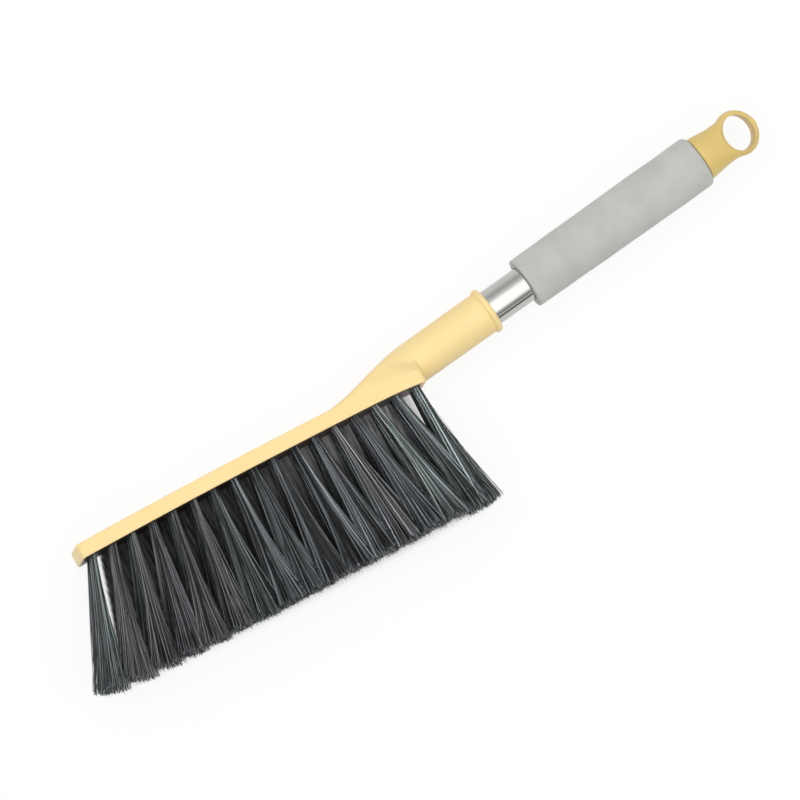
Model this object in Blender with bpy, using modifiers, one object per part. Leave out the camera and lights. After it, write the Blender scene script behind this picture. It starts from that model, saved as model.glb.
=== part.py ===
"""Bed brush: a moulded head with tufted bristles, a steel tube, a foam grip and a cap with a hanging loop.

The brush lies on its side. +X runs along the bar towards the handle, +Y towards the bar's back (the
bristles point to -Y) and +Z away from the surface that it lies on. The origin is the middle of the bar's
lower side face. Sizes are in metres.
"""
import math

import bmesh
import bpy
from mathutils import Euler, Vector

# Fits
FIT_GAP = 0.0003  # between pieces that touch or fit in each other

# Bar of the head
BAR_LENGTH = 0.1955
BAR_WIDTH = 0.036
BAR_THICKNESS = 0.008
BAR_CORNER_RADIUS = 0.0025  # of its outline, seen from the back
BAR_EDGE_RADIUS = 0.0008
BAR_RISE = 0.0017  # of the underside's crown above its two ends
BAR_CROWN_FROM_FREE_END = 0.115
BAR_OVERHANG = 0.0013  # of the bar, past the start of the handle's frame
BAR_ARCH_POWERS = (2, 6)  # how sharply it falls away to the free end and to the handle's end
BAR_STATION_SPACING = 0.020

# Fairing between the bar and the socket
FAIRING_LENGTH = 0.056  # of the bar's back that it covers
FAIRING_SIDE_STEP = 0.0002  # from the bar's side and underside to the fairing's
FAIRING_NARROWING = 0.032  # of its length, over which it draws in from the bar's width to the socket's
FAIRING_SHOULDER_HEIGHT = 0.010  # over the bar, within which its side turns into the fairing's
FAIRING_SHOULDER_SHARE = 0.75  # of the fairing's height, that the shoulder takes at most
CREASE_LENGTH = 0.016  # of the bar's end, over which the shoulder shrinks
CREASE_HEIGHT = 0.0062  # of the shoulder at the bar's end
CREASE_DEPTH = 0.0006  # of the ledge over the bar's edge, at the bar's end
BAR_END_DRAW = 0.0010  # of each side, drawn in along the crease
FAIRING_SQUARENESS = 6.0  # exponent of its first section; the last one is a circle, with 2
FAIRING_STATIONS = 15
FAIRING_STATION_CROWDING = 1.7  # exponent that draws them towards the handle
FAIRING_OVERRUN = 0.003  # past the bar's end, inside the socket
FAIRING_SINK = 0.0004  # of its last section, under the socket's surface

# Socket for the tube
HANDLE_RISE = math.radians(7.95)  # of the handle's axis over the bar's
SOCKET_DIAMETER = 0.0224
SOCKET_DRAFT = 0.0002  # growth of its diameter towards the rim
SOCKET_LIFT = 0.0011  # of its underside over the bar's, at the bar's end
SOCKET_LENGTH = 0.0492  # from the bar's end to the rim's end
SOCKET_BORE_DEPTH = 0.036
SOCKET_ROOT_LENGTH = 0.004  # that is buried in the fairing
SOCKET_ROOT_TAPER = 0.001  # of its radius, where it is buried
SOCKET_FULL_FROM = 0.0028  # from the start of the handle's frame, where the taper ends
RIM_DIAMETER = 0.0248
RIM_WIDTH = 0.0033
RIM_ROUNDING = 0.0011

# Handle tube
TUBE_DIAMETER = 0.019
TUBE_WALL = 0.0004
TUBE_SHOWN_LENGTH = 0.0226  # between the socket and the grip

# Grip sleeve
GRIP_LENGTH = 0.1094
GRIP_NEAR_DIAMETER = 0.0274
GRIP_FAR_DIAMETER = 0.0283
GRIP_WIDEST_FROM_FAR_END = 0.038
GRIP_NEAR_CHAMFER = 0.0004
GRIP_FAR_ROUNDING = 0.0028

# Hanging cap
CAP_TURN = math.radians(7.5)  # of the cap about the handle's axis
NECK_DIAMETER = 0.0236
NECK_WAIST_DIAMETER = 0.0211
NECK_WAIST_FROM_GRIP = 0.0139
LOOP_CENTRE_FROM_GRIP = 0.0235
LOOP_WIDTH = 0.0243  # across the handle
LOOP_LENGTH = 0.0206  # along the handle
LOOP_DEPTH = 0.015
LOOP_TIP_DEPTH = 0.013
LOOP_SQUARENESS = 4.0  # exponent of the sections through the loop; the neck's is a circle, with 2
LOOP_BLEND = 0.0016  # between the neck and the loop
LOOP_TIP_FLAT = 0.00003  # that is cut off its tip
FLATTENING_FROM_GRIP = 0.007  # where the neck starts to turn from round to flat
HOLE_WIDTH = 0.0192
HOLE_LENGTH = 0.0154
HOLE_FLARE = 0.0009  # growth of the hole's radius at each face
HOLE_FLARE_DEPTH = 0.0019
CAP_STATIONS = 20
PLUG_LENGTH = 0.016
PLUG_WALL = 0.0018
PLUG_POCKET_BEYOND_GRIP = 0.006  # of the pocket, into the neck

# Bristle tufts
TUFTS_IN_ROW = 17
ROW_NAMES = ("far", "mid", "near")  # from the side that it lies on to the side that faces up
ROW_SPACING = 0.010
FIRST_TUFT_FROM_END = 0.0065
LAST_TUFT_FROM_END = 0.0042
TUFT_DIAMETER = 0.0035
TUFT_ROOT_DEPTH = 0.0052
BRISTLE_LENGTH = 0.068
LEAN_FREE_END = math.radians(-18.7)
LEAN_HANDLE_END = math.radians(8.2)
UPRIGHT_FROM_FREE_END = 0.117  # where a tuft stands square to the bar
FAN_HALF_LENGTH = 0.0060  # of a tuft's tips, along the bar
FAN_HALF_DEPTH = 0.0042  # of a tuft's tips, across the bar
FAN_INNER_SHARE = 0.5  # of every second strand's spread
FAN_KNEE_HEIGHT = 0.55  # share of the length at which a strand has its middle ring
FAN_KNEE_SPREAD = 0.42  # share of the spread that it has there
STRANDS_IN_TUFT = 8
STRAND_INSET = 0.00015  # from the root's facets
STRAND_TIP_SCALE = 0.55

# Facets
ROUND_STEPS = 36
SECTION_CORNER_POINTS = 3
SECTION_TOP_POINTS = 19
SECTION_BOTTOM_POINTS = 7
CAP_SECTION_POINTS = 36
CUTTER_OVERRUN = 0.002

# Places that follow from the sizes
BAR_END = BAR_LENGTH / 2 + BAR_OVERHANG
MID_Z = BAR_WIDTH / 2
SOCKET_RADIUS = SOCKET_DIAMETER / 2
BORE_RADIUS = TUBE_DIAMETER / 2 + FIT_GAP
GRIP_START = SOCKET_LENGTH + TUBE_SHOWN_LENGTH
GRIP_END = GRIP_START + GRIP_LENGTH
TUBE_START = SOCKET_LENGTH - SOCKET_BORE_DEPTH + FIT_GAP
TUBE_END = GRIP_END
CAP_START = GRIP_END + FIT_GAP


def arch(x):
    """Height of the underside over the line through its two ends."""
    crown = BAR_CROWN_FROM_FREE_END - BAR_LENGTH / 2
    if x < crown:
        share, power = (crown - x) / (crown + BAR_LENGTH / 2), BAR_ARCH_POWERS[0]
    else:
        share, power = (x - crown) / (BAR_LENGTH / 2 - crown), BAR_ARCH_POWERS[1]
    return BAR_RISE * (1 - min(share, 1.0) ** power)


def underside(x):
    """Y of the bar's underside."""
    return arch(x) - arch(0.0) - BAR_THICKNESS / 2


AXIS_Y = underside(BAR_LENGTH / 2) + SOCKET_LIFT + SOCKET_RADIUS / math.cos(HANDLE_RISE)


def axis_y(x):
    """Y of the handle's axis."""
    return AXIS_Y + (x - BAR_LENGTH / 2) * math.tan(HANDLE_RISE)


def srgb(red, green, blue):
    """Linear colour of an sRGB colour given in 0 to 255."""
    def linear(value):
        share = value / 255
        return share / 12.92 if share <= 0.04045 else ((share + 0.055) / 1.055) ** 2.4
    return (linear(red), linear(green), linear(blue), 1.0)


def make_material(name, colour, roughness, metallic=0.0):
    material = bpy.data.materials.new(name)
    material.use_nodes = True
    shader = material.node_tree.nodes["Principled BSDF"]
    shader.inputs["Base Color"].default_value = colour
    shader.inputs["Roughness"].default_value = roughness
    shader.inputs["Metallic"].default_value = metallic
    material.diffuse_color = colour
    return material


def make_collection(name):
    collection = bpy.data.collections.new(name)
    bpy.context.scene.collection.children.link(collection)
    return collection


def add_object(name, mesh, collection, material=None):
    item = bpy.data.objects.new(name, mesh)
    collection.objects.link(item)
    if material:
        mesh.materials.append(material)
    return item


def mesh_from(build, name):
    """A mesh from the bmesh that build fills, with its faces pointing out."""
    bm = bmesh.new()
    build(bm)
    bmesh.ops.recalc_face_normals(bm, faces=bm.faces)
    mesh = bpy.data.meshes.new(name)
    bm.to_mesh(mesh)
    bm.free()
    return mesh


def shade_round(mesh, angle=math.radians(32)):
    mesh.shade_smooth()
    mesh.set_sharp_from_angle(angle=angle)


def as_cutter(item, cutters):
    """Keeps an object out of the model, as a cutter or a shape to join."""
    for collection in list(item.users_collection):
        collection.objects.unlink(item)
    cutters.objects.link(item)
    item.hide_render = True
    item.display_type = "WIRE"
    return item


def combine(item, other, operation):
    boolean = item.modifiers.new(f"{operation.lower()} {other.name}", "BOOLEAN")
    boolean.operation = operation
    boolean.object = other
    boolean.solver = "EXACT"


def turned(name, profile, collection, material=None, closed=False, steps=ROUND_STEPS):
    """A turned piece about its own Z. The profile is a list of (radius, height), down the outer side."""
    mesh = bpy.data.meshes.new(name)
    edges = [(i, i + 1) for i in range(len(profile) - 1)]
    if closed:
        edges.append((len(profile) - 1, 0))
    mesh.from_pydata([(radius, 0.0, height) for radius, height in profile], edges, [])
    item = add_object(name, mesh, collection, material)
    screw = item.modifiers.new("turn", "SCREW")
    screw.steps = steps
    screw.render_steps = steps
    screw.use_merge_vertices = True
    screw.merge_threshold = 0.00001
    return item


def quarter_round(radius, height, rounding, facing, points=4):
    """Profile points round a corner. facing 1 rounds a top corner, -1 a bottom one; both run downwards."""
    arc = []
    for i in range(points + 1):
        angle = math.pi / 2 * i / points
        turn = angle if facing > 0 else math.pi / 2 - angle
        arc.append((
            radius - rounding + rounding * math.sin(turn),
            height + facing * (rounding * math.cos(turn) - rounding),
        ))
    return arc


def loft(bm, sections):
    """Skins a list of rings with the same number of points, and caps both ends."""
    rings = [[bm.verts.new(point) for point in section] for section in sections]
    for ring, following in zip(rings, rings[1:]):
        for i in range(len(ring)):
            j = (i + 1) % len(ring)
            bm.faces.new((ring[i], ring[j], following[j], following[i]))
    bm.faces.new(rings[0])
    bm.faces.new(rings[-1])


def place_on_axis(item, handle, along=0.0, turn=0.0):
    """Puts a piece that was made about its own Z on the handle's axis."""
    item.parent = handle
    item.location = (0.0, 0.0, along)
    item.rotation_euler = (0.0, 0.0, turn)


# Head

def ray_to_rounded_box(cosine, sine, half_width, half_height, rounding):
    """Distance from the centre of a rounded rectangle to its outline."""
    cosine, sine = abs(cosine), abs(sine)
    reach = min(half_width / max(cosine, 1e-9), half_height / max(sine, 1e-9))
    inner_width, inner_height = half_width - rounding, half_height - rounding
    if cosine * reach > inner_width and sine * reach > inner_height:
        along = cosine * inner_width + sine * inner_height
        beyond = inner_width ** 2 + inner_height ** 2 - rounding ** 2
        reach = along + math.sqrt(max(along ** 2 - beyond, 0.0))
    return reach


def ray_to_edge(cosine, sine, inside, far):
    """Distance to where a ray leaves a form, given by a test of its inside."""
    near = 0.0
    for _ in range(40):
        reach = (near + far) / 2
        if inside(reach * cosine, reach * sine):
            near = reach
        else:
            far = reach
    return near


def ray_to_oval(cosine, sine, half_width, half_height, offset, exponent):
    """Distance to the outline of a superellipse whose centre lies offset above the ray's start."""
    def inside(across, height):
        return abs(across / half_width) ** exponent + abs((height - offset) / half_height) ** exponent < 1
    return ray_to_edge(cosine, sine, inside, 4 * max(half_width, half_height))


def smooth_share(share):
    """A share held between 0 and 1 that starts and ends without a slope."""
    share = min(max(share, 0.0), 1.0)
    return share ** 2 * (3 - 2 * share)


def blend_max(first, second, blend):
    """The larger of two sizes, with a fillet where they are alike."""
    if blend <= 0:
        return max(first, second)
    gap = max(blend - abs(first - second), 0.0)
    return max(first, second) + gap * gap / (4 * blend)


def section_angles():
    """Directions of a head section's points, seen from its centre: the bar's corners, its back and underside."""
    flat_height = BAR_THICKNESS / 2 - BAR_EDGE_RADIUS
    flat_width = BAR_WIDTH / 2 - BAR_EDGE_RADIUS
    corner = []
    for i in range(SECTION_CORNER_POINTS + 1):
        turn = math.pi / 2 * i / SECTION_CORNER_POINTS
        width = flat_width + BAR_EDGE_RADIUS * math.cos(turn)
        height = flat_height + BAR_EDGE_RADIUS * math.sin(turn)
        corner.append(math.atan2(height, width))
    first, last = corner[-1], math.pi - corner[-1]
    back = [first + (last - first) * (i + 1) / (SECTION_TOP_POINTS + 1) for i in range(SECTION_TOP_POINTS)]
    below = [first + (last - first) * (i + 1) / (SECTION_BOTTOM_POINTS + 1) for i in range(SECTION_BOTTOM_POINTS)]
    upper = corner + back + [math.pi - angle for angle in reversed(corner)]
    lower = corner + below + [math.pi - angle for angle in reversed(corner)]
    return upper + [angle + math.pi for angle in lower]


def end_rounding(distance, radius):
    """How far a rounded end is drawn in, at a distance from its face."""
    inward = max(radius - distance, 0.0)
    return radius - math.sqrt(max(radius ** 2 - inward ** 2, 0.0))


def fairing_top(x):
    """Y of the fairing's back: a smooth rise from the bar's back to the socket's."""
    start = BAR_LENGTH / 2 - FAIRING_LENGTH
    share = (x - start) / FAIRING_LENGTH
    low = underside(start) + BAR_THICKNESS
    high = AXIS_Y + SOCKET_RADIUS / math.cos(HANDLE_RISE)
    if share >= 1:
        return high + (x - BAR_LENGTH / 2) * math.tan(HANDLE_RISE)
    rise = share ** 2 * (3 - 2 * share)
    end_slope = FAIRING_LENGTH * math.tan(HANDLE_RISE) * (share ** 3 - share ** 2)
    return low + (high - low) * rise + end_slope


def fairing_shape(x):
    """Half width, half height, centre's Y and exponent of the fairing's section over the bar."""
    start = BAR_LENGTH / 2 - FAIRING_NARROWING
    narrowing = smooth_share((x - start) / FAIRING_NARROWING)
    full = BAR_WIDTH / 2 - FAIRING_SIDE_STEP
    half_width = full + (SOCKET_RADIUS - full) * narrowing
    exponent = FAIRING_SQUARENESS + (2 - FAIRING_SQUARENESS) * narrowing
    top = fairing_top(x)
    bottom = underside(x) + FAIRING_SIDE_STEP
    return half_width, (top - bottom) / 2, (top + bottom) / 2, exponent


def ray_to_fairing(cosine, sine, x, bar_half_width, centre_y):
    """Distance to the fairing's outline, which leaves the bar's side in a shoulder."""
    half_width, half_height, middle, exponent = fairing_shape(x)
    middle -= centre_y
    into_crease = smooth_share(1 - (BAR_END - x) / CREASE_LENGTH)
    bar_half_width -= CREASE_DEPTH * into_crease
    low = BAR_THICKNESS / 2 - BAR_EDGE_RADIUS
    height = min(FAIRING_SHOULDER_HEIGHT, (middle + half_height - low) * FAIRING_SHOULDER_SHARE)
    height += (CREASE_HEIGHT - height) * into_crease

    def inside(across, up):
        beyond = 1 - abs((up - middle) / half_height) ** exponent
        oval = half_width * max(beyond, 0.0) ** (1 / exponent)
        share = smooth_share((up - low) / height)
        return abs(across) < bar_half_width + (oval - bar_half_width) * share
    return ray_to_edge(cosine, sine, inside, 2 * BAR_WIDTH)


def head_section(x, from_end):
    """Points of the head's outline at x, from_end metres inside the bar's nearer end."""
    into_crease = max(1 - (BAR_END - x) / CREASE_LENGTH, 0.0)
    half_width = BAR_WIDTH / 2 - end_rounding(from_end, BAR_CORNER_RADIUS) - BAR_END_DRAW * into_crease ** 2
    half_height = BAR_THICKNESS / 2 - end_rounding(from_end, BAR_EDGE_RADIUS)
    centre_y = underside(x) + BAR_THICKNESS / 2
    points = []
    for angle in section_angles():
        cosine, sine = math.cos(angle), math.sin(angle)
        reach = ray_to_rounded_box(cosine, sine, half_width, half_height, BAR_EDGE_RADIUS)
        if x > BAR_LENGTH / 2 - FAIRING_LENGTH and sine > 0:
            reach = max(reach, ray_to_fairing(cosine, sine, x, half_width, centre_y))
        points.append(Vector((x, centre_y + reach * sine, MID_Z + reach * cosine)))
    return points


def socket_section(x, sink):
    """Points of the socket's outline at x, sunk under its surface, in line with the head's points."""
    centre_y = underside(BAR_LENGTH / 2) + BAR_THICKNESS / 2
    half_width = SOCKET_RADIUS - sink
    half_height = SOCKET_RADIUS / math.cos(HANDLE_RISE) - sink
    points = []
    for angle in section_angles():
        cosine, sine = math.cos(angle), math.sin(angle)
        reach = ray_to_oval(cosine, sine, half_width, half_height, axis_y(x) - centre_y, 2)
        points.append(Vector((x, centre_y + reach * sine, MID_Z + reach * cosine)))
    return points


def head_stations():
    """(x, distance from the bar's nearer end) of the sections along the bar."""
    half = BAR_LENGTH / 2
    rounded = [0.0, BAR_EDGE_RADIUS * 0.3, BAR_EDGE_RADIUS, BAR_CORNER_RADIUS * 0.6, BAR_CORNER_RADIUS]
    stations = [(-half + distance, distance) for distance in rounded]
    start, end = -half + BAR_CORNER_RADIUS, half - FAIRING_LENGTH
    plain = round((end - start) / BAR_STATION_SPACING)
    stations += [(start + (end - start) * (i + 1) / plain, BAR_WIDTH) for i in range(plain)]
    start, end = end, BAR_END - BAR_CORNER_RADIUS
    for i in range(FAIRING_STATIONS):
        share = (i + 1) / FAIRING_STATIONS
        x = end - (end - start) * (1 - share) ** FAIRING_STATION_CROWDING
        stations.append((x, BAR_END - x))
    stations += [(BAR_END - distance, distance) for distance in reversed(rounded[:-1])]
    return stations


def build_head_loft(bm):
    sections = [head_section(x, distance) for x, distance in head_stations()]
    sections.append(socket_section(BAR_END + FIT_GAP, 0.0))
    sections.append(socket_section(BAR_END + FAIRING_OVERRUN, FAIRING_SINK))
    loft(bm, sections)


def make_socket(cutters, handle):
    """The socket's outside, with its rim, about the handle's axis."""
    rim_radius = RIM_DIAMETER / 2
    rim_start = SOCKET_LENGTH - RIM_WIDTH
    end_radius = SOCKET_RADIUS + SOCKET_DRAFT / 2
    profile = [(0.0, SOCKET_LENGTH)]
    profile += quarter_round(rim_radius, SOCKET_LENGTH, RIM_ROUNDING, 1)
    profile += quarter_round(rim_radius, rim_start, RIM_ROUNDING, -1)
    profile += [
        (end_radius, rim_start),
        (SOCKET_RADIUS, SOCKET_FULL_FROM),
        (SOCKET_RADIUS - SOCKET_ROOT_TAPER, -SOCKET_ROOT_LENGTH),
        (0.0, -SOCKET_ROOT_LENGTH),
    ]
    socket = as_cutter(turned("socket_outside", profile, cutters), cutters)
    place_on_axis(socket, handle)
    return socket


def make_bore(cutters, handle):
    profile = [
        (0.0, SOCKET_LENGTH + CUTTER_OVERRUN),
        (BORE_RADIUS, SOCKET_LENGTH + CUTTER_OVERRUN),
        (BORE_RADIUS, SOCKET_LENGTH - SOCKET_BORE_DEPTH),
        (0.0, SOCKET_LENGTH - SOCKET_BORE_DEPTH),
    ]
    bore = as_cutter(turned("socket_bore", profile, cutters), cutters)
    place_on_axis(bore, handle)
    return bore


def tuft_places():
    """(name, root point, lean about Z) of every tuft."""
    half = BAR_LENGTH / 2
    first, last = -half + FIRST_TUFT_FROM_END, half - LAST_TUFT_FROM_END
    upright = UPRIGHT_FROM_FREE_END - half
    for row, row_name in enumerate(ROW_NAMES):
        z = MID_Z + (row - (len(ROW_NAMES) - 1) / 2) * ROW_SPACING
        for i in range(TUFTS_IN_ROW):
            x = first + (last - first) * i / (TUFTS_IN_ROW - 1)
            if x < upright:
                lean = LEAN_FREE_END * (upright - x) / (upright - first)
            else:
                lean = LEAN_HANDLE_END * (x - upright) / (last - upright)
            yield f"tuft_{row_name}_{i + 1:02d}", Vector((x, underside(x), z)), lean


def build_tuft_holes(bm):
    """One blind eight-sided hole for each tuft, square to the tuft's lean."""
    radius = TUFT_DIAMETER / 2 + FIT_GAP / math.cos(math.pi / STRANDS_IN_TUFT)
    depth = TUFT_ROOT_DEPTH + FIT_GAP
    for _, root, lean in tuft_places():
        hole = bmesh.ops.create_cone(
            bm, cap_ends=True, segments=STRANDS_IN_TUFT, radius1=radius, radius2=radius,
            depth=depth + CUTTER_OVERRUN,
        )["verts"]
        bmesh.ops.translate(bm, verts=hole, vec=(0, 0, (depth - CUTTER_OVERRUN) / 2))
        turn = Euler((math.radians(-90), 0, lean)).to_matrix()
        bmesh.ops.rotate(bm, verts=hole, cent=(0, 0, 0), matrix=turn)
        bmesh.ops.translate(bm, verts=hole, vec=root)


def make_head(parts, cutters, handle, material):
    mesh = mesh_from(build_head_loft, "brush_head")
    shade_round(mesh)
    head = add_object("brush_head", mesh, parts, material)
    combine(head, make_socket(cutters, handle), "UNION")
    combine(head, make_bore(cutters, handle), "DIFFERENCE")
    holes = add_object("tuft_holes", mesh_from(build_tuft_holes, "tuft_holes"), cutters)
    combine(head, as_cutter(holes, cutters), "DIFFERENCE")
    return head


# Tufts

def build_tuft(bm):
    """A root of eight facets with a strand grown from each, along -Z."""
    fan = bmesh.ops.create_circle(
        bm, cap_ends=True, cap_tris=True, segments=STRANDS_IN_TUFT, radius=TUFT_DIAMETER / 2,
    )["verts"]
    roots = list({face for vert in fan for face in vert.link_faces})
    plug = bmesh.ops.extrude_face_region(bm, geom=roots)["geom"]
    top = [item for item in plug if isinstance(item, bmesh.types.BMVert)]
    bmesh.ops.translate(bm, verts=top, vec=(0, 0, TUFT_ROOT_DEPTH))
    bmesh.ops.dissolve_faces(bm, faces=[item for item in plug if isinstance(item, bmesh.types.BMFace)])
    bmesh.ops.recalc_face_normals(bm, faces=bm.faces)
    bmesh.ops.inset_individual(bm, faces=roots, thickness=STRAND_INSET, use_even_offset=True)
    for index, face in enumerate(sorted(roots, key=direction_of)):
        grow_strand(bm, face, 1.0 if index % 2 == 0 else FAN_INNER_SHARE)


def direction_of(face):
    centre = face.calc_center_median()
    return math.atan2(centre.y, centre.x)


def grow_strand(bm, face, spread):
    """Extrudes one facet to the middle ring and to the tip, spread to its side of the tuft."""
    root = face.calc_center_median()
    angle = direction_of(face)
    tip = Vector((
        FAN_HALF_LENGTH * spread * math.cos(angle), FAN_HALF_DEPTH * spread * math.sin(angle), -BRISTLE_LENGTH,
    ))
    steps = ((FAN_KNEE_HEIGHT, FAN_KNEE_SPREAD, 1.0), (1.0, 1.0, STRAND_TIP_SCALE))
    for height, share, scale in steps:
        face = bmesh.ops.extrude_discrete_faces(bm, faces=[face])["faces"][0]
        centre = face.calc_center_median()
        goal = Vector((
            root.x + (tip.x - root.x) * share, root.y + (tip.y - root.y) * share, tip.z * height,
        ))
        bmesh.ops.translate(bm, verts=face.verts, vec=goal - centre)
        for vert in face.verts:
            vert.co = goal + (vert.co - goal) * scale


def make_tufts(parts, material):
    mesh = mesh_from(build_tuft, "tuft")
    mesh.materials.append(material)
    for name, root, lean in tuft_places():
        tuft = add_object(name, mesh, parts)
        tuft.location = root
        tuft.rotation_euler = (math.radians(-90), 0, lean)


# Handle

def make_handle_axis(parts):
    """An empty on the handle's axis, near the bar's end, with its Z along the handle."""
    handle = bpy.data.objects.new("handle_axis", None)
    parts.objects.link(handle)
    handle.location = (BAR_LENGTH / 2, AXIS_Y, MID_Z)
    handle.rotation_euler = Euler((0, math.radians(90), HANDLE_RISE), "XYZ")
    return handle


def make_tube(parts, handle, material):
    outer, inner = TUBE_DIAMETER / 2, TUBE_DIAMETER / 2 - TUBE_WALL
    profile = [(outer, TUBE_END), (outer, TUBE_START), (inner, TUBE_START), (inner, TUBE_END)]
    tube = turned("handle_tube", profile, parts, material, closed=True)
    place_on_axis(tube, handle)


def make_grip(parts, handle, material):
    near, far = GRIP_NEAR_DIAMETER / 2, GRIP_FAR_DIAMETER / 2
    profile = [(BORE_RADIUS, GRIP_END)]
    profile += quarter_round(far, GRIP_END, GRIP_FAR_ROUNDING, 1)
    profile += [
        (far, GRIP_END - GRIP_WIDEST_FROM_FAR_END),
        (near, GRIP_START + GRIP_NEAR_CHAMFER),
        (near - GRIP_NEAR_CHAMFER, GRIP_START),
        (BORE_RADIUS, GRIP_START),
    ]
    grip = turned("grip_sleeve", profile, parts, material, closed=True)
    place_on_axis(grip, handle)


# Hanging cap

def neck_radius(along):
    """Radius of the neck, drawn in smoothly from the grip to its waist."""
    share = smooth_share(along / NECK_WAIST_FROM_GRIP)
    return (NECK_DIAMETER + (NECK_WAIST_DIAMETER - NECK_DIAMETER) * share) / 2


def cap_shape(along):
    """Half width, half depth and exponent of the cap's section, along metres beyond the grip."""
    from_centre = (along - LOOP_CENTRE_FROM_GRIP) / (LOOP_LENGTH / 2)
    ring = LOOP_WIDTH / 2 * math.sqrt(max(1 - from_centre ** 2, 0.0))
    neck = neck_radius(along) if along <= LOOP_CENTRE_FROM_GRIP else 0.0
    half_width = blend_max(neck, ring, LOOP_BLEND)
    start = FLATTENING_FROM_GRIP
    end = LOOP_CENTRE_FROM_GRIP + LOOP_LENGTH / 2
    share = smooth_share((along - start) / (LOOP_CENTRE_FROM_GRIP - start))
    half_depth = neck_radius(along) + (LOOP_DEPTH / 2 - neck_radius(along)) * share
    if along > LOOP_CENTRE_FROM_GRIP:
        tip = (along - LOOP_CENTRE_FROM_GRIP) / (end - LOOP_CENTRE_FROM_GRIP)
        half_depth += (LOOP_TIP_DEPTH - LOOP_DEPTH) / 2 * tip
    return half_width, half_depth, 2 + (LOOP_SQUARENESS - 2) * share


def cap_section(along):
    half_width, half_depth, exponent = cap_shape(along)
    points = []
    for i in range(CAP_SECTION_POINTS):
        angle = 2 * math.pi * i / CAP_SECTION_POINTS
        cosine, sine = math.cos(angle), math.sin(angle)
        depth = half_depth * math.copysign(abs(cosine) ** (2 / exponent), cosine)
        width = half_width * math.copysign(abs(sine) ** (2 / exponent), sine)
        points.append(Vector((depth, width, along)))
    return points


def build_cap_loft(bm):
    end = LOOP_CENTRE_FROM_GRIP + LOOP_LENGTH / 2
    stations = []
    for i in range(CAP_STATIONS):
        share = i / CAP_STATIONS
        stations.append(end * math.sin(math.pi / 2 * share))
    stations.append(end - LOOP_TIP_FLAT)
    loft(bm, [cap_section(along) for along in stations])


def build_loop_hole(bm):
    """An oval post across the loop, flared at both faces."""
    straight = LOOP_DEPTH / 2 - HOLE_FLARE_DEPTH
    end = LOOP_DEPTH / 2 + CUTTER_OVERRUN
    end_flare = HOLE_FLARE * (end - straight) / HOLE_FLARE_DEPTH
    levels = ((-end, end_flare), (-straight, 0.0), (straight, 0.0), (end, end_flare))
    sections = []
    for depth, flare in levels:
        ring = []
        for i in range(CAP_SECTION_POINTS):
            angle = 2 * math.pi * i / CAP_SECTION_POINTS
            ring.append(Vector((
                depth,
                (HOLE_WIDTH / 2 + flare) * math.sin(angle),
                LOOP_CENTRE_FROM_GRIP + (HOLE_LENGTH / 2 + flare) * math.cos(angle),
            )))
        sections.append(ring)
    loft(bm, sections)


def make_cap(parts, cutters, handle, material):
    mesh = mesh_from(build_cap_loft, "hanging_cap")
    shade_round(mesh)
    cap = add_object("hanging_cap", mesh, parts, material)
    place_on_axis(cap, handle, CAP_START, CAP_TURN)

    plug_radius = TUBE_DIAMETER / 2 - TUBE_WALL - FIT_GAP
    plug = turned("cap_plug", [
        (0.0, PLUG_POCKET_BEYOND_GRIP), (plug_radius, PLUG_POCKET_BEYOND_GRIP),
        (plug_radius, -PLUG_LENGTH), (0.0, -PLUG_LENGTH),
    ], cutters)
    pocket_radius = plug_radius - PLUG_WALL
    pocket = turned("plug_pocket", [
        (0.0, PLUG_POCKET_BEYOND_GRIP), (pocket_radius, PLUG_POCKET_BEYOND_GRIP),
        (pocket_radius, -PLUG_LENGTH - CUTTER_OVERRUN), (0.0, -PLUG_LENGTH - CUTTER_OVERRUN),
    ], cutters)
    hole = add_object("loop_hole", mesh_from(build_loop_hole, "loop_hole"), cutters)
    for shape, operation in ((plug, "UNION"), (pocket, "DIFFERENCE"), (hole, "DIFFERENCE")):
        place_on_axis(as_cutter(shape, cutters), handle, CAP_START, CAP_TURN)
        combine(cap, shape, operation)


def main():
    for item in list(bpy.data.objects):
        bpy.data.objects.remove(item)
    parts = make_collection("bed_brush")
    cutters = make_collection("cutters")
    head_yellow = make_material("head_plastic", srgb(251, 227, 165), 0.42)
    cap_yellow = make_material("cap_plastic", srgb(226, 198, 118), 0.45)
    steel = make_material("polished_steel", srgb(205, 205, 200), 0.16, 1.0)
    foam = make_material("grip_foam", srgb(188, 190, 184), 0.9)
    bristle = make_material("bristle_fibre", srgb(84, 88, 92), 0.5)

    handle = make_handle_axis(parts)
    make_head(parts, cutters, handle, head_yellow)
    make_tube(parts, handle, steel)
    make_grip(parts, handle, foam)
    make_cap(parts, cutters, handle, cap_yellow)
    make_tufts(parts, bristle)


main()
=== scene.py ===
import math
import random

import bmesh
import bpy
from mathutils import Euler, Matrix, Vector


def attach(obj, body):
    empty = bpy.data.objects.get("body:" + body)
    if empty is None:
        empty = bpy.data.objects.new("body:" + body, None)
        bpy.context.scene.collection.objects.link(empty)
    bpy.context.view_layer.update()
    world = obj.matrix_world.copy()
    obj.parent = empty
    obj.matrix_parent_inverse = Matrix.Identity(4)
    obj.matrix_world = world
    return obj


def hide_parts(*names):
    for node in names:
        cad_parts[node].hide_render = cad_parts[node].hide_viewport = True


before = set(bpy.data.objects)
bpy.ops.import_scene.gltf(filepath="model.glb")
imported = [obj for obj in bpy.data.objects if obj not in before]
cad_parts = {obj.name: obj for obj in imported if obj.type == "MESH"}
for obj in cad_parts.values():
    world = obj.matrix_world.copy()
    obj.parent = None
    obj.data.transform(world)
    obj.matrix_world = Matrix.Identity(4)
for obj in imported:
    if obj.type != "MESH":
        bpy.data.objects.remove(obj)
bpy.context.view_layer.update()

BODY = "root"

# Fits
FIT_GAP = 0.0003  # between pieces that touch or fit in each other

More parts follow.
